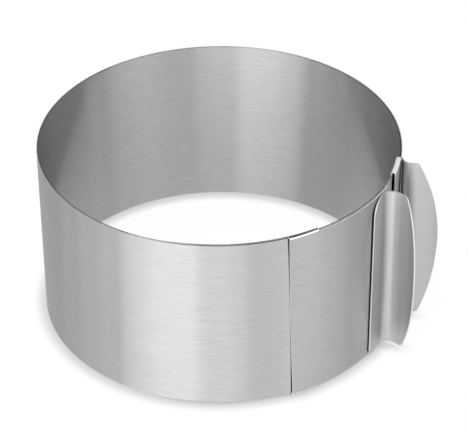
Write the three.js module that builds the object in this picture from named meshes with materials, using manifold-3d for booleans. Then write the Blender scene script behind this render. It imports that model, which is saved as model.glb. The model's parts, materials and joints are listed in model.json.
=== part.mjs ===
// Adjustable cake ring: a stainless strip wound nearly twice round, a keeper plate and two pull grips.
// Millimetres, +Z up. Ring angles start at the front (-Y) and grow towards the right (+X).
import * as THREE from 'three';
import { mergeVertices } from 'three/addons/utils/BufferGeometryUtils.js';
import Module from 'manifold-3d';

const wasm = await Module();
wasm.setup();

// Sheet, layers and ring
const SHEET = 0.4; // thickness of the wound strip and of the keeper plate
const PLAY = 0.2; // gap between two layers that slide on each other
const BAND_HEIGHT = 84; // height of the wound strip between its cut edges
const RING_RADIUS = 81.25; // outer face of the outer turn at the setting shown

// Hems: tabs folded inward over the strip's edges, top and bottom
const HEM_LENGTH = 12.6; // along the ring
const HEM_LEG = 5; // height of the folded leg, outside the fold
const HEM_FOLD = 0.6; // outside radius of the fold
const HEM_PLAY = 0.4; // gap between the strip's edge and the fold over it

// Places round the ring at the setting shown, in degrees
const KEEPER_START_DEG = 21.4; // the keeper plate's free end at half height, the seam seen at the front
const FRONT_FIN_DEG = 61.5; // root of the front grip's fin, on its finger side
const OUTER_END_DEG = 69.1; // outer end of the wound strip
const REAR_FIN_DEG = 77.5; // root of the rear grip's fin, on its finger side

// Ends of the sheets: how they lie, and how far they stop short of, or reach past, what covers them
const KEEPER_SLANT = 2.4; // seam's foot past its top, along the ring
const KEEPER_TAIL = 0.8; // keeper plate past the front grip's fin
const KEEPER_SPRING = 0.8; // how far the keeper plate's free end springs off the strip
const KEEPER_SPRING_LENGTH = 30; // stretch of the keeper plate that springs off
const FLARE = 0.7; // how far the strip's outer end springs off the turn inside it
const FLARE_LENGTH = 50; // stretch of the strip that springs off
const INNER_STEP = 0.8; // how far the inner turn eases inward, to pass behind the keeper's hems
const INNER_EASE = 30; // stretch in which it eases inward
const INNER_EASED = 35; // stretch from there to the keeper's hems
const INNER_START_GAP = 0.3; // inner turn's start after the end of the keeper's hem
const INNER_LAP = 0.5; // strip's inner end past the inner turn's start, one layer further in
const OUTER_LAP = 3; // outer turn's hidden end under the keeper plate

// Grips: a flange spot-welded to the ring, a bend, and a fin to pull on, curled back over the fingers
const GRIP_SHEET = 0.6;
const GRIP_INSET = 0.5; // grip's top and bottom edges inside the strip's edges
const GRIP_SEAT = 0.2; // gap under the welded flange
const GRIP_LEAN = 1.8; // fin's foot past its top, along the ring
const FLANGE_WIDTH = 12.5; // at the foot, from the flange's free edge to the fin's finger side
const FLANGE_TAPER = 1.6; // how much narrower the flange is at its top
const FLANGE_TOP_CORNER = 8;
const FLANGE_FOOT_CORNER = 2;
const FRONT_FLANGE_CURVE = 150; // flatter than the ring, so that flange's free edge stands off
const REAR_FLANGE_CURVE = 66; // follows the strip where it springs off
const BEND_RADIUS = 2.4; // finger side of the bend between flange and fin
const FIN_LENGTH_MID = 15.6; // along the curled sheet from the bend to the tip, at half height
const FIN_LENGTH_END = 7.1; // the same, at the top and bottom edges
const REAR_FIN_TRIM = 2.2; // how much shorter the rear grip's fin is at its top
const FIN_CURL = 19.8; // radius of the fin's finger side
const FIN_CORNER = 2.2; // rounding between the bowed edge and the top and bottom edges
const FIN_TIP_HALF = 3; // half height of the straight middle of the bowed edge

// Fineness of the curves
const ROLL_STEP_DEG = 2; // one facet of the rolled sheet
const BENT_STEP = 0.4; // one facet of a grip, along its sheet
const FOLD_SEGMENTS = 3;

const TURN_DEG = 360;
const DEG = Math.PI / 180;
const layerPitch = SHEET + PLAY; // radial step from one layer to the next
const hemRise = SHEET + HEM_PLAY; // how far a hem stands past the strip's edge
const overallHeight = BAND_HEIGHT + 2 * hemRise;
const gripHeight = BAND_HEIGHT - 2 * GRIP_INSET;

// Degrees that a length takes up along the ring's face
const alongRing = (length) => length / RING_RADIUS / DEG;

// A closed three.js geometry as a manifold body, ready to join and cut
function toBody(geometry) {
  geometry.deleteAttribute('normal');
  geometry.deleteAttribute('uv');
  const merged = mergeVertices(geometry);
  const mesh = new wasm.Mesh({
    numProp: 3,
    vertProperties: Float32Array.from(merged.getAttribute('position').array),
    triVerts: Uint32Array.from(merged.getIndex().array),
  });
  return new wasm.Manifold(mesh);
}

// The finished body as a named mesh in brushed steel of the given grey
function toMesh(name, body, color) {
  const { vertProperties, triVerts } = body.getMesh();
  const geometry = new THREE.BufferGeometry();
  geometry.setAttribute('position', new THREE.BufferAttribute(Float32Array.from(vertProperties), 3));
  geometry.setIndex(new THREE.BufferAttribute(Uint32Array.from(triVerts), 1));
  geometry.computeVertexNormals();
  const material = new THREE.MeshStandardMaterial({ color, roughness: 0.34, metalness: 1 });
  const mesh = new THREE.Mesh(geometry, material);
  mesh.name = name;
  return mesh;
}

// A section (x outward from the ring's face, y up) drawn out along the ring and rolled to its curve.
// faceRadius gives the ring's face at an angle, so a strip can leave the circle as it goes, and for a
// place in the section, so a wall can leave it without its hems.
// slantDeg is how far the start's foot lies past its top; the other end is upright.
function rolled(section, startDeg, endDeg, faceRadius, slantDeg) {
  const span = endDeg - startDeg;
  const steps = Math.ceil(span / ROLL_STEP_DEG);
  const settings = { depth: span, steps, bevelEnabled: false, curveSegments: FOLD_SEGMENTS };
  const geometry = new THREE.ExtrudeGeometry(section, settings);
  const position = geometry.getAttribute('position');
  for (let i = 0; i < position.count; i += 1) {
    const beforeEnd = position.getZ(i);
    const lean = (0.5 - position.getY(i) / overallHeight) * (beforeEnd / span);
    const degrees = endDeg - beforeEnd + slantDeg * lean;
    const radius = faceRadius(degrees, position.getX(i)) + position.getX(i);
    const x = radius * Math.sin(degrees * DEG);
    const y = -radius * Math.cos(degrees * DEG);
    position.setXYZ(i, x, y, position.getY(i));
  }
  return toBody(geometry);
}

function polygon(points) {
  return new THREE.Shape(points.map(([x, y]) => new THREE.Vector2(x, y)));
}

// Wall with a hem folded inward at the top and bottom. wallFace is the wall's outer face and
// legFace the inner face of the folded legs, both outward from the ring's face.
function hemmedSection(wallFace, legFace) {
  const top = overallHeight;
  const legBack = legFace + SHEET;
  const right = Math.PI / 2;
  const inFold = HEM_FOLD - SHEET;
  const legFold = legFace + HEM_FOLD;
  const wallFold = wallFace - HEM_FOLD;
  const section = new THREE.Shape();
  section.absarc(legFold, HEM_FOLD, HEM_FOLD, 2 * right, 3 * right);
  section.absarc(wallFold, HEM_FOLD, HEM_FOLD, -right, 0);
  section.absarc(wallFold, top - HEM_FOLD, HEM_FOLD, 0, right);
  section.absarc(legFold, top - HEM_FOLD, HEM_FOLD, right, 2 * right);
  section.lineTo(legFace, top - HEM_LEG);
  section.lineTo(legBack, top - HEM_LEG);
  section.absarc(legFold, top - HEM_FOLD, inFold, 2 * right, right, true);
  section.absarc(wallFold, top - HEM_FOLD, inFold, right, 0, true);
  section.absarc(wallFold, HEM_FOLD, inFold, 0, -right, true);
  section.absarc(legFold, HEM_FOLD, inFold, 3 * right, 2 * right, true);
  section.lineTo(legBack, HEM_LEG);
  section.lineTo(legFace, HEM_LEG);
  return section;
}

// What is trimmed off where there is no hem: the legs, and the wall past the strip's edges
function hemTrim(wallFace, legFace) {
  const inside = legFace - SHEET;
  const outside = wallFace + SHEET;
  const hollow = wallFace - SHEET - PLAY / 2;
  const low = hemRise;
  const high = overallHeight - hemRise;
  return polygon([
    [inside, -SHEET],
    [outside, -SHEET],
    [outside, low],
    [hollow, low],
    [hollow, high],
    [outside, high],
    [outside, overallHeight + SHEET],
    [inside, overallHeight + SHEET],
  ]);
}

// A sheet on the ring from startDeg to endDeg, hemmed only along its first hem length
function hemmedSheet(wallFace, legFace, startDeg, endDeg, faceRadius, slantDeg) {
  const hemEndDeg = startDeg + alongRing(HEM_LENGTH);
  const pastEndDeg = endDeg + alongRing(SHEET);
  const folded = rolled(hemmedSection(wallFace, legFace), startDeg, endDeg, faceRadius, slantDeg);
  return folded.subtract(rolled(hemTrim(wallFace, legFace), hemEndDeg, pastEndDeg, faceRadius, 0));
}

// How far a sheet's free end springs off at an angle, easing out to nothing over a length
function springOff(degrees, endDeg, length, rise) {
  const share = THREE.MathUtils.clamp((degrees - endDeg) / alongRing(length), 0, 1);
  return rise * (1 - share) ** 2;
}

// Keeper plate: its hems hold the outer turn, and their legs are welded to the strip's inner end.
const keeperEndDeg = FRONT_FIN_DEG + alongRing(GRIP_SHEET + KEEPER_TAIL);
const keeperFace = layerPitch;
const keeperLegFace = -layerPitch - SHEET;
const seamSlantDeg = alongRing(KEEPER_SLANT);
const keeperRadius = (degrees, outward) => {
  const legBack = keeperLegFace + SHEET;
  const wallBack = keeperFace - SHEET;
  const wallShare = THREE.MathUtils.clamp((outward - legBack) / (wallBack - legBack), 0, 1);
  const rise = KEEPER_SPRING * wallShare;
  return RING_RADIUS + springOff(degrees, KEEPER_START_DEG, KEEPER_SPRING_LENGTH, rise);
};
const keeper = hemmedSheet(
  keeperFace,
  keeperLegFace,
  KEEPER_START_DEG,
  keeperEndDeg,
  keeperRadius,
  seamSlantDeg,
);

// Outer turn: from the strip's outer end, which springs off a little, round to its hidden end under
// the keeper plate. Its hems reach in behind the inner turn.
const outerLegFace = -2 * layerPitch - FLARE - SHEET;
const outerHiddenDeg = keeperEndDeg - alongRing(OUTER_LAP) + TURN_DEG;
const flareAt = (degrees) => springOff(degrees, OUTER_END_DEG, FLARE_LENGTH, FLARE);
const flaredFace = (degrees) => RING_RADIUS + flareAt(degrees);
const outerTurn = hemmedSheet(0, outerLegFace, OUTER_END_DEG, outerHiddenDeg, flaredFace, 0);

// Inner turn: one full turn, close inside the outer one, from beside the keeper's hem legs to the
// strip's inner end. Before that end it eases inward, to pass behind the legs.
const innerStartDeg = KEEPER_START_DEG + alongRing(HEM_LENGTH + INNER_START_GAP);
const innerEndDeg = innerStartDeg + alongRing(INNER_LAP) + TURN_DEG;
const easeEndDeg = KEEPER_START_DEG - alongRing(INNER_EASED) + TURN_DEG;
const easeStartDeg = easeEndDeg - alongRing(INNER_EASE);
const innerFace = (degrees) => {
  const eased = THREE.MathUtils.smoothstep(degrees, easeStartDeg, easeEndDeg);
  return RING_RADIUS - layerPitch - INNER_STEP * eased;
};
const plainSection = polygon([
  [-SHEET, hemRise],
  [0, hemRise],
  [0, hemRise + BAND_HEIGHT],
  [-SHEET, hemRise + BAND_HEIGHT],
]);
const innerTurn = rolled(plainSection, innerStartDeg, innerEndDeg, innerFace, 0);

// Grip in its own frame: +X outward from the ring's axis, +Y along the ring, root of the fin's finger
// side at y = 0. This is the plan of that side: the flange from its free edge, the bend, then the fin.
const seatRadius = RING_RADIUS + GRIP_SEAT;

function gripPlan(flangeCurve) {
  const flangeCentre = seatRadius + GRIP_SHEET - flangeCurve;
  const bendReach = flangeCurve + BEND_RADIUS;
  const bendAngle = Math.asin(BEND_RADIUS / bendReach);
  const bendCentre = flangeCentre + bendReach * Math.cos(bendAngle);
  const freeAngle = Math.asin(FLANGE_WIDTH / flangeCurve);
  const flangeTangent = Math.PI + bendAngle;
  const finRoot = 1.5 * Math.PI;
  const finTip = finRoot + FIN_LENGTH_MID / FIN_CURL;
  const plan = new THREE.CurvePath();
  plan.add(new THREE.ArcCurve(flangeCentre, 0, flangeCurve, freeAngle, bendAngle, true));
  plan.add(new THREE.ArcCurve(bendCentre, BEND_RADIUS, BEND_RADIUS, flangeTangent, finRoot, false));
  plan.add(new THREE.ArcCurve(bendCentre, FIN_CURL, FIN_CURL, finRoot, finTip, false));
  return plan;
}

// How far a rounded corner of the flange cuts in, at a distance from the free edge
function cornerCut(fromEdge, radius) {
  if (fromEdge >= radius) {
    return 0;
  }
  return radius - Math.sqrt(radius ** 2 - (radius - fromEdge) ** 2);
}

// Half height of the fin at a distance short of its tip: a bow with rounded corners
function finHalfHeight(short) {
  const half = gripHeight / 2;
  const bow = FIN_LENGTH_MID - FIN_LENGTH_END;
  const bowRadius = (half ** 2 + bow ** 2) / (2 * bow);
  const roundRadius = bowRadius - FIN_CORNER;
  const roundReach = Math.sqrt(roundRadius ** 2 - (half - FIN_CORNER) ** 2);
  const roundStart = bowRadius - roundReach;
  const roundEnd = bowRadius - (roundReach * bowRadius) / roundRadius;
  if (short >= roundStart) {
    return half;
  }
  if (short >= roundEnd) {
    return half - FIN_CORNER + Math.sqrt(FIN_CORNER ** 2 - (roundStart - short) ** 2);
  }
  return Math.max(FIN_TIP_HALF, Math.sqrt(bowRadius ** 2 - (bowRadius - short) ** 2));
}

// The grip's flat blank, cut to its outline and bent along the plan.
// flangeSide is the way along the ring that the flange runs from the fin: -1 or 1.
// topTrim is how much shorter the fin is at its top than at its foot.
function grip(flangeSide, flangeCurve, topTrim) {
  const plan = gripPlan(flangeCurve);
  const length = plan.getLength();
  const section = polygon([
    [-GRIP_SHEET, 0],
    [0, 0],
    [0, 1],
    [-GRIP_SHEET, 1],
  ]);
  const settings = { depth: 1, steps: Math.ceil(length / BENT_STEP), bevelEnabled: false };
  const geometry = new THREE.ExtrudeGeometry(section, settings);
  const position = geometry.getAttribute('position');
  const half = gripHeight / 2;
  for (let i = 0; i < position.count; i += 1) {
    const blankShare = flangeSide > 0 ? position.getZ(i) : 1 - position.getZ(i);
    const fromEdge = blankShare * length;
    const finHalf = finHalfHeight(length - fromEdge);
    const low = Math.max(cornerCut(fromEdge, FLANGE_FOOT_CORNER), half - finHalf);
    const high = Math.min(gripHeight - cornerCut(fromEdge, FLANGE_TOP_CORNER), half + finHalf);
    const z = low + (high - low) * position.getY(i);
    const taper = FLANGE_TAPER * (z / gripHeight) * Math.max(0, 1 - fromEdge / FLANGE_WIDTH);
    const finShare = THREE.MathUtils.clamp((FIN_LENGTH_MID - length + fromEdge) / FIN_LENGTH_END, 0, 1);
    const trim = topTrim * Math.max(0, z / half - 1) * finShare;
    const planShare = blankShare + (taper - trim) / length;
    const point = plan.getPoint(planShare);
    const tangent = plan.getTangent(planShare);
    const offset = position.getX(i);
    const lean = GRIP_LEAN * (0.5 - z / gripHeight);
    const y = (point.y + tangent.x * offset) * flangeSide + lean;
    position.setXYZ(i, point.x - tangent.y * offset, y, z);
  }
  return toBody(geometry);
}

// Turns a grip to its place on the ring and lifts it off the ring's face by what lies under it
function placeGrip(mesh, finDeg, outward) {
  const angle = finDeg * DEG;
  const foot = hemRise + GRIP_INSET;
  mesh.rotation.z = angle - Math.PI / 2;
  mesh.position.set(outward * Math.sin(angle), -outward * Math.cos(angle), foot);
}

const frontGrip = toMesh('front_grip', grip(-1, FRONT_FLANGE_CURVE, 0), 0xb4b5b6);
placeGrip(frontGrip, FRONT_FIN_DEG, layerPitch);
const rearGrip = toMesh('rear_grip', grip(1, REAR_FLANGE_CURVE, REAR_FIN_TRIM), 0xb4b5b6);
placeGrip(rearGrip, REAR_FIN_DEG, flareAt(REAR_FIN_DEG));

// What stays still: the inner turn with the keeper plate welded to its end, and the front grip.
const keeperAssembly = new THREE.Group();
keeperAssembly.add(toMesh('band_inner_turn', innerTurn, 0xb6b7b8));
keeperAssembly.add(toMesh('keeper_plate', keeper, 0xbcbdbe));
keeperAssembly.add(frontGrip);

// What slides round: the outer turn and the rear grip welded to it.
const slidingAssembly = new THREE.Group();
slidingAssembly.add(toMesh('band_outer_turn', outerTurn, 0xbcbdbe));
slidingAssembly.add(rearGrip);

// The part stands on z = 0 with the middle of its outline over the origin.
const ring = new THREE.Group();
ring.add(keeperAssembly, slidingAssembly);
ring.updateMatrixWorld(true);
const box = new THREE.Box3().setFromObject(ring, true);
const middle = box.getCenter(new THREE.Vector3());
ring.position.set(-middle.x, -middle.y, -box.min.z);

const cakeRing = new THREE.Group();
cakeRing.add(ring);

export default cakeRing;
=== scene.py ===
import json
import math

import bmesh
import bpy
from mathutils import Matrix, Vector


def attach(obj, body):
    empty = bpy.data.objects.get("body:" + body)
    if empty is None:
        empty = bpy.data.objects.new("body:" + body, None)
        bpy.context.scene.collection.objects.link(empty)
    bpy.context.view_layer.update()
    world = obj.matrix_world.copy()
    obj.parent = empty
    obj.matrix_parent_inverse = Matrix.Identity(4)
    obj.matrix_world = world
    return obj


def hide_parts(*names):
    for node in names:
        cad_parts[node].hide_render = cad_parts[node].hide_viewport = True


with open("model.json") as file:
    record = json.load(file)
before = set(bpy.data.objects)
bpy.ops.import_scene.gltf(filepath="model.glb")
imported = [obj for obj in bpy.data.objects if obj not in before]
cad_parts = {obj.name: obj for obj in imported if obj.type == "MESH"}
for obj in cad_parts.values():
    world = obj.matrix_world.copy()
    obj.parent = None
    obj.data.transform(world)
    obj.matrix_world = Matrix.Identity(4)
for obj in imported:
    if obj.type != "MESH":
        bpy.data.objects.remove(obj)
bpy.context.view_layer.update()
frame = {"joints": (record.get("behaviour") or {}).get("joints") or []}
scene = bpy.context.scene
scene.view_settings.view_transform = "Standard"

# Camera: a long lens in front of the ring, looking down on it by 35 degrees. The ring's axis is
# the axis that its lap slides round.
hinge = frame["joints"][0]
axis_x, axis_y, mid_height = hinge["pos_m"]
distance = 0.9675
elevation = math.radians(35.277)
pitch = math.radians(35.245)
yaw = math.radians(0.467)
roll = math.radians(-0.3)
focal_px = 2117.7
frame_px = 468
ahead = Vector((math.sin(yaw) * math.cos(pitch), math.cos(yaw) * math.cos(pitch), -math.sin(pitch)))
level = ahead.cross(Vector((0, 0, 1))).normalized()
over = level.cross(ahead)
right = level * math.cos(roll) + over * math.sin(roll)
above = over * math.cos(roll) - level * math.sin(roll)
lens = bpy.data.cameras.new("camera")
lens.lens = lens.sensor_width * focal_px / frame_px
camera = bpy.data.objects.new("camera", lens)
stand = Matrix((right, above, -ahead)).transposed().to_4x4()
stand.translation = (
    axis_x,
    axis_y - distance * math.cos(elevation),
    mid_height + distance * math.sin(elevation),
)
camera.matrix_world = stand
scene.collection.objects.link(camera)
scene.camera = camera


# Wires: a socket of a node tree in Python. Sums and products of wires add Math nodes, and make()
# adds any other node with its settings first and then its sockets' values or links.
class Wire:
    def __init__(self, tree, socket=None):
        self.tree = tree
        self.socket = socket

    def make(self, kind, settings, sockets, result=0):
        node = self.tree.nodes.new(kind)
        for name, value in settings.items():
            setattr(node, name, value)
        for name, value in sockets.items():
            if isinstance(value, Wire):
                self.tree.links.new(value.socket, node.inputs[name])
            else:
                node.inputs[name].default_value = value
        return Wire(self.tree, node.outputs[result]) if len(node.outputs) else None

    def also(self, result):
        return Wire(self.tree, self.socket.node.outputs[result])

    def math(self, operation, first, second=0.0):
        return self.make("ShaderNodeMath", {"operation": operation}, {0: first, 1: second})

    def __add__(self, other):
        return self.math("ADD", self, other)

    def __radd__(self, other):
        return self.math("ADD", other, self)

    def __sub__(self, other):
        return self.math("SUBTRACT", self, other)

    def __rsub__(self, other):
        return self.math("SUBTRACT", other, self)

    def __mul__(self, other):
        return self.math("MULTIPLY", self, other)

    def __truediv__(self, other):
        return self.math("DIVIDE", self, other)


# Studio: a white table, a row of upright soft boxes round the ring that meet edge to edge, and one
# overhead. Those at the front left are the brightest and make the bright band in the steel. The table's
# glow carries a painted contact shadow close to the ring's foot, seen only by the camera.
table_mesh = bpy.data.meshes.new("table")
table_half = 4.0
table_drop = 0.0001
paper_white = 0.93
painted_shadow_reach = 0.0065
painted_contact_shadow = 0.85
glow_share = 0.95
sky_strength = 0.12
corner_signs = ((-1, -1), (1, -1), (1, 1), (-1, 1))
table_corners = [(table_half * x, table_half * y, 0) for x, y in corner_signs]
table_mesh.from_pydata(table_corners, [], [(0, 1, 2, 3)])
table = bpy.data.objects.new("table", table_mesh)
table.location.z = -table_drop
scene.collection.objects.link(table)
paper = bpy.data.materials.new("white_paper")
paper.use_nodes = True
paper.node_tree.nodes.clear()
paper_wire = Wire(paper.node_tree)
in_view = paper_wire.make("ShaderNodeLightPath", {}, {}, "Is Camera Ray")
seen = paper_wire.math("MAXIMUM", in_view, in_view.also("Is Glossy Ray"))
seen = paper_wire.math("MAXIMUM", seen, in_view.also("Is Transmission Ray"))
matt = paper_wire.make("ShaderNodeBsdfDiffuse", {}, {"Color": (paper_white, paper_white, paper_white, 1)})
# painted contact shadow: ambient occlusion near the ring darkens the table's glow, for camera rays only
clear = paper_wire.make("ShaderNodeAmbientOcclusion", {"samples": 8}, {"Distance": painted_shadow_reach}, "AO")
shade = (1 - clear) * in_view * painted_contact_shadow
glow = paper_wire.make("ShaderNodeEmission", {}, {"Color": 1 - shade, "Strength": 1.0})
sheet_of_paper = paper_wire.make("ShaderNodeMixShader", {}, {0: seen * glow_share, 1: matt, 2: glow})
paper_wire.make("ShaderNodeOutputMaterial", {}, {"Surface": sheet_of_paper})
table_mesh.materials.append(paper)

studio = bpy.data.worlds.new("studio")
scene.world = studio
studio.use_nodes = True
studio.node_tree.nodes["Background"].inputs["Color"].default_value = (1, 1, 1, 1)
studio.node_tree.nodes["Background"].inputs["Strength"].default_value = sky_strength


def soft_box(name, place, aim_height, width, tall, brightness):
    lamp = bpy.data.lights.new(name, "AREA")
    lamp.shape = "RECTANGLE"
    lamp.size = width
    lamp.size_y = tall
    lamp.energy = brightness * math.pi * width * tall
    box = bpy.data.objects.new(name, lamp)
    box.location = place
    aim = Vector((axis_x, axis_y, aim_height)) - box.location
    box.rotation_euler = aim.to_track_quat("-Z", "Y").to_euler()
    box.visible_camera = False
    box.visible_glossy = name != "soft_box_top"
    scene.collection.objects.link(box)


# each upright box: its name, the bearings of its two edges, its height and its brightness
box_reach = 1.5
for name, from_deg, to_deg, tall, brightness in (
    ("soft_box_back_left", -160, -104, 2.6, 0.22),
    ("soft_box_far_left", -104, -88, 1.0, 0.52),
    ("soft_box_side_left", -88, -73, 1.0, 1.0),
    ("soft_box_near_left", -73, -58, 1.0, 1.42),
    ("soft_box_left", -58, -40, 2.3, 2.5),
    ("soft_box_front_left", -40, -14, 2.6, 2.95),
    ("soft_box_front", -14, 6, 1.9, 2.38),
    ("soft_box_front_right", 6, 15, 2.2, 1.98),
    ("soft_box_right", 15, 38, 2.4, 1.4),
    ("soft_box_side_right", 38, 60, 2.4, 1.63),
    ("soft_box_far_right", 60, 76, 2.6, 1.38),
    ("soft_box_edge_right", 76, 92, 1.0, 0.78),
    ("soft_box_back_right", 92, 160, 1.9, 0.27),
):
    bearing = math.radians(from_deg + to_deg) / 2
    width = 2 * box_reach * math.tan(math.radians(to_deg - from_deg) / 2)
    stand_x = axis_x + box_reach * math.sin(bearing)
    stand_y = axis_y - box_reach * math.cos(bearing)
    soft_box(name, (stand_x, stand_y, tall / 2), tall / 2, width, tall, brightness)
top_behind = 0.2
top_height = 2.0
top_side = 1.6
top_brightness = 3.2
top_place = (axis_x, axis_y + top_behind, top_height)
soft_box("soft_box_top", top_place, mid_height, top_side, top_side, top_brightness)

# Inner turn: the inside layer of one long strip of thin stainless steel, brushed along its length.
# It is rolled to the ring, lies close inside the outer turn, and steps in behind the keeper's hems.
mm = 0.001
sheet = 0.4 * mm
layer = 0.6 * mm
ring_radius = 81.25 * mm
strip_foot = 0.8 * mm
strip_top = 84.8 * mm
overall_height = 85.6 * mm
cut_round = 0.09 * mm
guard = 0.3 * mm
hem_length = 12.6 * mm
seam = math.radians(21.4)
seam_slant = 2.4 * mm / ring_radius
turn = 2 * math.pi


def along(length):
    return length / ring_radius


# outline of a sheet's section, with its corners rounded, a guard row beside each long side, and
# more rows up a wall that bows
def section_curve(name, corners, wall_rows=0):
    points = []
    long_side = 10 * guard
    count = len(corners)
    for index, (out, up, radius) in enumerate(corners):
        here = Vector((out, up))
        back = Vector(corners[index - 1][:2]) - here
        on = Vector(corners[(index + 1) % count][:2]) - here
        to_back = back.normalized()
        to_on = on.normalized()
        if back.length > long_side:
            points.append(here + to_back * (radius + guard))
        centre = here + (to_back + to_on) * radius
        steps = 5
        for step in range(steps + 1):
            bend = math.pi / 2 * step / steps
            points.append(centre - (to_on * math.cos(bend) + to_back * math.sin(bend)) * radius)
        if on.length > long_side:
            points.append(here + to_on * (radius + guard))
        if on.length > overall_height / 2:
            points += [here + on * row / (wall_rows + 1) for row in range(1, wall_rows + 1)]
    curve = bpy.data.curves.new(name, "CURVE")
    curve.dimensions = "3D"
    spline = curve.splines.new("POLY")
    spline.points.add(len(points) - 1)
    for point, place in zip(spline.points, points):
        point.co = (place.x, place.y, 0, 1)
    spline.use_cyclic_u = True
    section = bpy.data.objects.new(name, curve)
    scene.collection.objects.link(section)
    return section


# a section drawn out flat along X, then rolled round the ring's axis
rolling = bpy.data.node_groups.new("rolled_sheet", "GeometryNodeTree")
for input_name, kind in (
    ("Section", "NodeSocketObject"),
    ("Steps", "NodeSocketInt"),
    ("Start", "NodeSocketFloat"),
    ("End", "NodeSocketFloat"),
    ("Slant", "NodeSocketFloat"),
    ("Flare", "NodeSocketFloat"),
    ("Flare Start", "NodeSocketFloat"),
    ("Flare Span", "NodeSocketFloat"),
    ("Flare From", "NodeSocketFloat"),
    ("Flare To", "NodeSocketFloat"),
    ("Flare Bow", "NodeSocketFloat"),
    ("Step In", "NodeSocketFloat"),
    ("Step Start", "NodeSocketFloat"),
    ("Step End", "NodeSocketFloat"),
    ("Finish", "NodeSocketMaterial"),
):
    rolling.interface.new_socket(input_name, in_out="INPUT", socket_type=kind)
rolling.interface.new_socket("Sheet", in_out="OUTPUT", socket_type="NodeSocketGeometry")
entry = rolling.nodes.new("NodeGroupInput")
given = {socket.name: Wire(rolling, socket) for socket in entry.outputs if socket.name}
roll_wire = Wire(rolling)
line = roll_wire.make("GeometryNodeCurvePrimitiveLine", {}, {"End": (1, 0, 0)})
path = roll_wire.make("GeometryNodeResampleCurve", {}, {"Curve": line, "Count": given["Steps"] + 1})
outline = roll_wire.make("GeometryNodeObjectInfo", {}, {"Object": given["Section"]}, "Geometry")
flat_sockets = {"Curve": path, "Profile Curve": outline, "Fill Caps": True}
flat = roll_wire.make("GeometryNodeCurveToMesh", {}, flat_sockets)
flat_place = roll_wire.make("GeometryNodeInputPosition", {}, {})
flat_x = roll_wire.make("ShaderNodeSeparateXYZ", {}, {0: flat_place})
from_end = flat_x
outward = 0 - flat_x.also("Y")
upward = 0 - flat_x.also("Z")
lean = (0.5 - upward / overall_height) * from_end
angle = given["End"] - (given["End"] - given["Start"]) * from_end + given["Slant"] * lean
sprung = roll_wire.math("MAXIMUM", 1 - (angle - given["Flare Start"]) / given["Flare Span"], 0.0)
sprung = roll_wire.math("MINIMUM", sprung, 1.0)
flare_share = roll_wire.make(
    "ShaderNodeMapRange",
    {},
    {"Value": outward, "From Min": given["Flare From"], "From Max": given["Flare To"]},
)
stepped = roll_wire.make(
    "ShaderNodeMapRange",
    {"interpolation_type": "SMOOTHSTEP"},
    {"Value": angle, "From Min": given["Step Start"], "From Max": given["Step End"]},
)
from_middle = upward * (2 / overall_height) - 1
bowed = 1 - given["Flare Bow"] * (1 - from_middle * from_middle)
flared = given["Flare"] * sprung * sprung * flare_share * bowed
radius = outward + ring_radius + flared - given["Step In"] * stepped
rolled_x = axis_x + radius * roll_wire.math("SINE", angle)
rolled_y = axis_y - radius * roll_wire.math("COSINE", angle)
rolled_place = roll_wire.make("ShaderNodeCombineXYZ", {}, {"X": rolled_x, "Y": rolled_y, "Z": upward})
rolled = roll_wire.make("GeometryNodeSetPosition", {}, {"Geometry": flat, "Position": rolled_place})
smooth_sockets = {"Geometry": rolled, "Shade Smooth": True}
rolled = roll_wire.make("GeometryNodeSetShadeSmooth", {"domain": "FACE"}, smooth_sockets)
crisp_corner = 0.7
corner = roll_wire.make("GeometryNodeInputMeshEdgeAngle", {}, {}, "Unsigned Angle")
crisp = roll_wire.make("FunctionNodeCompare", {"operation": "GREATER_THAN"}, {"A": corner, "B": crisp_corner})
rolled = roll_wire.make(
    "GeometryNodeSetShadeSmooth",
    {"domain": "EDGE"},
    {"Geometry": rolled, "Selection": crisp, "Shade Smooth": False},
)
rolled = roll_wire.make("GeometryNodeRealizeInstances", {}, {"Geometry": rolled})
rolled = roll_wire.make("GeometryNodeSetMaterial", {}, {"Geometry": rolled, "Material": given["Finish"]})
roll_wire.tree.links.new(rolled.socket, rolling.nodes.new("NodeGroupOutput").inputs[0])


step_deg = 0.75


def rolled_sheet(name, section, start, end, finish, **more):
    sizes = {
        "Section": section,
        "Steps": math.ceil(math.degrees(end - start) / step_deg),
        "Start": start,
        "End": end,
        "Slant": 0.0,
        "Flare": 0.0,
        "Flare Start": 0.0,
        "Flare Span": 1.0,
        "Flare From": -2.0,
        "Flare To": -1.0,
        "Flare Bow": 0.0,
        "Step In": 0.0,
        "Step Start": 0.0,
        "Step End": 1.0,
        "Finish": finish,
    }
    sizes.update(more)
    blank = bpy.data.objects.new(name + "_blank", bpy.data.meshes.new(name + "_blank"))
    scene.collection.objects.link(blank)
    shaping = blank.modifiers.new("rolled", "NODES")
    shaping.node_group = rolling
    for item in rolling.interface.items_tree:
        if item.in_out == "INPUT":
            shaping[item.identifier] = sizes[item.name]
    shaped = blank.evaluated_get(bpy.context.evaluated_depsgraph_get())
    mesh = bpy.data.meshes.new_from_object(shaped)
    mesh.name = name
    bpy.data.objects.remove(blank)
    return mesh


strip_grain = (140, 140, 3000)
strip_rough = 0.336
strip_stretch = 0.823
grain_depth = 0.6
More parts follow.
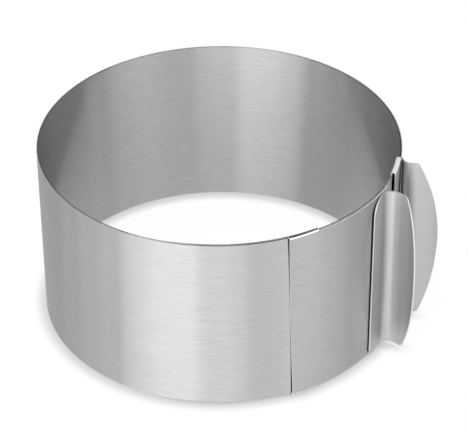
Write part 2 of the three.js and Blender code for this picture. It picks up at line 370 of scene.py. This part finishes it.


# stainless steel with a brushed grain: long fine lines along the sheet and slow cloudy changes of
# polish. Where a face is marked, it turns to a lighter, part-matt metal: bare metal on cut edges, and a
# painted highlight on those edges and on the outsides of folds. It mirrors crisply along the grain and
# spreads light across it, the more so the higher its stretch.
def brushed_steel(name, colour, rough, stretch, grain, depth):
    steel = bpy.data.materials.new(name)
    steel.use_nodes = True
    steel.node_tree.nodes.clear()
    wire = Wire(steel.node_tree)
    place = wire.make("ShaderNodeTexCoord", {}, {}, "Object")

    def noise(scales, detail):
        spread = wire.make("ShaderNodeVectorMath", {"operation": "MULTIPLY"}, {0: place, 1: scales})
        sockets = {"Vector": spread, "Scale": 1.0, "Detail": detail, "Roughness": 0.6}
        return wire.make("ShaderNodeTexNoise", {}, sockets)

    streak_scale = (grain[0] * 0.35, grain[1] * 0.35, grain[2] * 0.3)
    streak_share = 0.1
    cloud_scale = (22, 22, 30)
    cloud_depth = 0.18
    contrast = 0.3
    grain_polish = 0.12
    cloud_polish = 0.075
    scratch_strength = 0.05
    scratch_depth = 0.00003
    hairline = noise(grain, 0.0)
    streak = noise(streak_scale, 3.0)
    cloud = noise(cloud_scale, 3.0)
    brush = hairline * (1 - streak_share) + streak * streak_share - 0.5
    tone = brush * depth + cloud * cloud_depth + (1 - cloud_depth) / 2
    darker = [channel * (1 - contrast) for channel in colour] + [1]
    lighter = [channel * (1 + contrast) for channel in colour] + [1]
    polish = brush * grain_polish + (cloud - 0.5) * cloud_polish + rough
    relief_sockets = {"Strength": scratch_strength, "Distance": scratch_depth, "Height": brush}
    relief = wire.make("ShaderNodeBump", {}, relief_sockets)
    shine = {"Roughness": polish, "Anisotropy": stretch, "Normal": relief}
    lobe = {"distribution": "MULTI_GGX"}
    dull = wire.make("ShaderNodeBsdfAnisotropic", lobe, {"Color": darker, **shine})
    bright = wire.make("ShaderNodeBsdfAnisotropic", lobe, {"Color": lighter, **shine})
    skin = wire.make("ShaderNodeMixShader", {}, {0: tone, 1: dull, 2: bright})
    # lighter, part-matt metal for marked faces: bare cut metal and painted highlight
    edge_colour = (0.85, 0.85, 0.85, 1)
    edge_sockets = {"Base Color": edge_colour, "Metallic": 0.4, "Roughness": 0.4}
    edge = wire.make("ShaderNodeBsdfPrincipled", {}, edge_sockets)
    bare = wire.make("ShaderNodeAttribute", {"attribute_name": "bare"}, {}, "Fac")
    whole = wire.make("ShaderNodeMixShader", {}, {0: bare, 1: skin, 2: edge})
    wire.make("ShaderNodeOutputMaterial", {}, {"Surface": whole})
    return steel


fold_front_facing = 0.2
cut_facing = 0.6


# marks the faces of a rolled sheet that take the lighter cut-edge metal, bare metal and painted
# highlight: wholly on the outside of the folds, where it is painted highlight only, and as given on cut
# edges and on the folds' other faces
def mark_bare_and_highlight(mesh, cut, fold_back=0.0):
    marks = mesh.attributes.new("bare", "FLOAT", "FACE")
    for face in mesh.polygons:
        middle = face.center
        outward = face.normal.dot(Vector((middle.x - axis_x, middle.y - axis_y, 0)).normalized())
        # painted highlight on the folds: the hems' rolls are drawn white through the lighter metal
        if not strip_foot - cut_round < middle.z < strip_top + cut_round:
            marks.data[face.index].value = 1.0 if outward > fold_front_facing else fold_back
        elif abs(outward) < cut_facing:
            marks.data[face.index].value = cut


def place_piece(name, mesh, body, node):
    piece = bpy.data.objects.new(name, mesh)
    scene.collection.objects.link(piece)
    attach(piece, body)
    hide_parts(node)


plain_corners = [
    (-sheet, strip_foot, cut_round),
    (0, strip_foot, cut_round),
    (0, strip_top, cut_round),
    (-sheet, strip_top, cut_round),
]
plain_section = section_curve("strip_section", plain_corners)
strip_colour = (0.58, 0.58, 0.585)
strip_steel = brushed_steel(
    "brushed_strip", strip_colour, strip_rough, strip_stretch, strip_grain, grain_depth
)
inner_section = section_curve("inner_strip_section", [(out - layer, up, r) for out, up, r in plain_corners])
end_gap = 0.3 * mm
end_overlap = 0.5 * mm
step_in = 0.8 * mm
step_length = 30 * mm
step_clear = 35 * mm
inner_start = seam + along(hem_length + end_gap)
step_end = seam - along(step_clear) + turn
inner_mesh = rolled_sheet(
    "inner_turn",
    inner_section,
    inner_start,
    inner_start + along(end_overlap) + turn,
    strip_steel,
    **{"Step In": step_in, "Step Start": step_end - along(step_length), "Step End": step_end},
)
mark_bare_and_highlight(inner_mesh, 0.0)
place_piece("inner_turn", inner_mesh, "keeper_body", "band_inner_turn")

# Outer turn: the outside layer of the same strip. Its outer end springs off a little and is folded
# inward at the top and foot into hems, which hook over the inner turn and slide along it.
outer_end = math.radians(69.1)
# the keeper plate ends just past the front grip's fin
front_fin_deg = 61.5
grip_sheet = 0.6 * mm
keeper_past_fin = 0.8 * mm
keeper_end = math.radians(front_fin_deg) + along(grip_sheet + keeper_past_fin)
flare = 0.7 * mm
flare_length = 50 * mm
tail_gap = 3 * mm
hem_leg = 5 * mm
outer_fold = 1.0 * mm
outer_cut_bare_and_highlight = 0.6


# section of a wall with both hems: outer face, folds, legs inside, and the inner face
def hemmed_section(name, wall, leg, fold, wall_rows=0):
    leg_back = leg + sheet
    wall_back = wall - sheet
    top = overall_height
    return section_curve(
        name,
        [
            (leg, 0, fold),
            (wall, 0, fold),
            (wall, top, fold),
            (leg, top, fold),
            (leg, top - hem_leg, cut_round),
            (leg_back, top - hem_leg, cut_round),
            (leg_back, top - sheet, fold - sheet),
            (wall_back, top - sheet, fold - sheet),
            (wall_back, sheet, fold - sheet),
            (leg_back, sheet, fold - sheet),
            (leg_back, hem_leg, cut_round),
            (leg, hem_leg, cut_round),
        ],
        wall_rows,
    )


def joined(name, first, second):
    whole = bmesh.new()
    whole.from_mesh(first)
    whole.from_mesh(second)
    mesh = bpy.data.meshes.new(name)
    whole.to_mesh(mesh)
    whole.free()
    for material in first.materials:
        mesh.materials.append(material)
    return mesh


spring = {"Flare": flare, "Flare Start": outer_end, "Flare Span": along(flare_length)}
outer_hem_end = outer_end + along(hem_length)
outer_leg = -2 * layer - flare - sheet
outer_hem_section = hemmed_section("outer_hem_section", 0, outer_leg, outer_fold)
outer_hems = rolled_sheet("outer_hems", outer_hem_section, outer_end, outer_hem_end, strip_steel, **spring)
outer_tail = keeper_end - along(tail_gap) + turn
outer_wall = rolled_sheet("outer_wall", plain_section, outer_hem_end, outer_tail, strip_steel, **spring)
outer_mesh = joined("outer_turn", outer_hems, outer_wall)
# cut edges part bare metal, part painted highlight; both faces of the folds take painted highlight
mark_bare_and_highlight(outer_mesh, outer_cut_bare_and_highlight, 1.0)
place_piece("outer_turn", outer_mesh, "sliding_body", "band_outer_turn")

# Keeper plate: a short plate of brushed sheet outside the strip, a shade darker. Its hems hook over the
# outer turn and are spot-welded to the strip's inner end; its free end is the seam at the front.
keeper_colour = (0.52, 0.52, 0.525)
keeper_steel = brushed_steel(
    "brushed_keeper", keeper_colour, strip_rough, strip_stretch, strip_grain, grain_depth
)
keeper_fold = 0.6 * mm
keeper_lift = 0.8 * mm
keeper_lift_length = 30 * mm
bow_rows = 17
keeper_corners = [(out + layer, up, r) for out, up, r in plain_corners]
keeper_leg = -layer - sheet
keeper_hem_section = hemmed_section("keeper_hem_section", layer, keeper_leg, keeper_fold, bow_rows)
keeper_section = section_curve("keeper_section", keeper_corners, bow_rows)
keeper_hem_end = seam + along(hem_length)
lift = {"Flare": keeper_lift, "Flare Start": seam, "Flare Span": along(keeper_lift_length)}
lift.update({"Flare From": -layer, "Flare To": layer - sheet, "Flare Bow": 1.0})
keeper_hems = rolled_sheet(
    "keeper_hems", keeper_hem_section, seam, keeper_hem_end, keeper_steel, Slant=seam_slant, **lift
)
keeper_wall = rolled_sheet("keeper_wall", keeper_section, keeper_hem_end, keeper_end, keeper_steel, **lift)
keeper_mesh = joined("keeper", keeper_hems, keeper_wall)
# cut edges wholly lighter: bare cut metal and a painted highlight, which draws the seam's bright line
mark_bare_and_highlight(keeper_mesh, 1.0)
place_piece("keeper", keeper_mesh, "keeper_body", "keeper_plate")

for section in (plain_section, inner_section, outer_hem_section, keeper_hem_section, keeper_section):
    bpy.data.objects.remove(section)

# Grips: two bent plates of thicker satin steel, spot-welded by their flanges to the keeper plate and to
# the strip's outer end. The rear one faces the other way, its flange is curved more, and its fin is a
# little shorter at the top. Each fin is bowed and curls over the fingers.
grip_height = 83 * mm
grip_foot = 1.3 * mm
weld_gap = 0.2 * mm
seat = ring_radius + weld_gap
grip_lean = 1.8 * mm
flange_width = 12.5 * mm
flange_taper = 1.6 * mm
flange_foot_corner = 2 * mm
bend = 3.8 * mm
fin_mid = 14.36 * mm
fin_end = 5.86 * mm
fin_tip_half = 1.5 * mm
fin_curl = 16.6 * mm
fin_corner = 2.2 * mm
grip_colour = (0.515, 0.515, 0.52)
grip_rough = 0.48
grip_stretch = 0.43
grip_grain_depth = 0.25
grip_steel = brushed_steel(
    "satin_grips", grip_colour, grip_rough, grip_stretch, strip_grain, grip_grain_depth
)


# finger side of a grip in plan: its whole length, and a function from a length along it to the point
# and direction there
def grip_plan(flange_curve):
    flange_centre = seat + grip_sheet - flange_curve
    bend_angle = math.asin(bend / (flange_curve + bend))
    bend_centre = flange_centre + (flange_curve + bend) * math.cos(bend_angle)
    free_angle = math.asin(flange_width / flange_curve)
    flange_run = flange_curve * (free_angle - bend_angle)
    bend_run = bend * (math.pi / 2 - bend_angle)

    def place(run):
        if run < flange_run:
            turned = free_angle - run / flange_curve
            spoke = Vector((math.cos(turned), math.sin(turned)))
            return Vector((flange_centre, 0)) + spoke * flange_curve, Vector((spoke.y, -spoke.x))
        if run < flange_run + bend_run:
            turned = math.pi + bend_angle + (run - flange_run) / bend
            centre, reach = Vector((bend_centre, bend)), bend
        else:
            turned = 1.5 * math.pi + (run - flange_run - bend_run) / fin_curl
            centre, reach = Vector((bend_centre, fin_curl)), fin_curl
        spoke = Vector((math.cos(turned), math.sin(turned)))
        return centre + spoke * reach, Vector((-spoke.y, spoke.x))

    return flange_run + bend_run + fin_mid, place


def corner_cut(run, radius):
    return radius - math.sqrt(radius**2 - (radius - run) ** 2) if run < radius else 0.0


def fin_half(short):
    half = grip_height / 2
    bow = fin_mid - fin_end
    bow_radius = (half**2 + bow**2) / (2 * bow)
    round_reach = math.sqrt((bow_radius - fin_corner) ** 2 - (half - fin_corner) ** 2)
    round_start = bow_radius - round_reach
    round_end = bow_radius - round_reach * bow_radius / (bow_radius - fin_corner)
    if short >= round_start:
        return half
    if short >= round_end:
        return half - fin_corner + math.sqrt(fin_corner**2 - (round_start - short) ** 2)
    return max(fin_tip_half, math.sqrt(bow_radius**2 - (bow_radius - short) ** 2))


grip_edge_bare_and_highlight = 0.45
rim_round = 0.12 * mm
rim_angle = 0.9
crisp_angle = 0.6


# the blank of a grip, bent along its plan and set on the ring
def grip_mesh(name, fin_deg, lift, flange_side, flange_curve, top_corner, top_trim):
    grip_run, place = grip_plan(flange_curve)
    count = 150
    half = grip_height / 2
    turned = math.radians(fin_deg)
    spoke = Vector((math.sin(turned), -math.cos(turned), 0))
    along_ring = Vector((math.cos(turned), math.sin(turned), 0))
    centre = Vector((axis_x, axis_y, grip_foot)) + spoke * lift
    points = []
    for index in range(count + 1):
        run = grip_run * (1 - math.cos(math.pi * index / count)) / 2
        tall = fin_half(grip_run - run)
        low = max(corner_cut(run, flange_foot_corner), half - tall)
        high = min(grip_height - corner_cut(run, top_corner), half + tall)
        for z in (low, high):
            narrow = flange_taper * (z / grip_height) * max(0, 1 - run / flange_width)
            trim = top_trim * max(0, z / half - 1) * min(1, max(0, run - grip_run + fin_mid) / fin_end)
            lean = grip_lean * (0.5 - z / grip_height)
            spot, heading = place(run + narrow - trim)
            for deep in (0, grip_sheet):
                x = spot.x + heading.y * deep
                y = (spot.y - heading.x * deep) * flange_side + lean
                points.append(centre + spoke * x + along_ring * y + Vector((0, 0, z)))
    quads = []
    for index in range(count):
        a, b = 4 * index, 4 * index + 4
        quads += [
            (a, a + 2, b + 2, b),
            (a + 1, b + 1, b + 3, a + 3),
            (a + 2, a + 3, b + 3, b + 2),
            (a, b, b + 1, a + 1),
        ]
    last = 4 * count
    quads += [(0, 1, 3, 2), (last, last + 2, last + 3, last + 1)]
    mesh = bpy.data.meshes.new(name)
    mesh.from_pydata(points, [], quads)
    form = bmesh.new()
    form.from_mesh(mesh)
    bmesh.ops.recalc_face_normals(form, faces=form.faces)
    # rims and their rounding take the lighter metal: bare cut metal and painted highlight
    bare_highlight_layer = form.faces.layers.float.new("bare")
    for item in form.faces:
        item[bare_highlight_layer] = grip_edge_bare_and_highlight if item.index >= 4 * count or item.index % 4 > 1 else 0.0
    rims = [edge for edge in form.edges if edge.calc_face_angle(0) > rim_angle]
    rounding = {"offset": rim_round, "segments": 3, "affect": "EDGES", "profile": 0.5, "clamp_overlap": True}
    for item in bmesh.ops.bevel(form, geom=rims, **rounding)["faces"]:
        item[bare_highlight_layer] = grip_edge_bare_and_highlight
    for item in form.faces:
        item.smooth = True
    for edge in form.edges:
        edge.smooth = edge.calc_face_angle(0) < crisp_angle
    form.to_mesh(mesh)
    form.free()
    mesh.materials.append(grip_steel)
    return mesh


front_flange_curve = 150 * mm
front_top_corner = 8 * mm
front_mesh = grip_mesh(
    "front_grip_plate", front_fin_deg, layer, -1, front_flange_curve, front_top_corner, 0
)
place_piece("front_grip_plate", front_mesh, "keeper_body", "front_grip")
rear_fin_deg = 77.5
rear_flange_curve = 66 * mm
rear_top_corner = 12 * mm
rear_top_trim = 2.2 * mm
rear_lift = flare * (1 - (math.radians(rear_fin_deg) - outer_end) / along(flare_length)) ** 2
rear_mesh = grip_mesh(
    "rear_grip_plate", rear_fin_deg, rear_lift, 1, rear_flange_curve, rear_top_corner, rear_top_trim
)
place_piece("rear_grip_plate", rear_mesh, "sliding_body", "rear_grip")
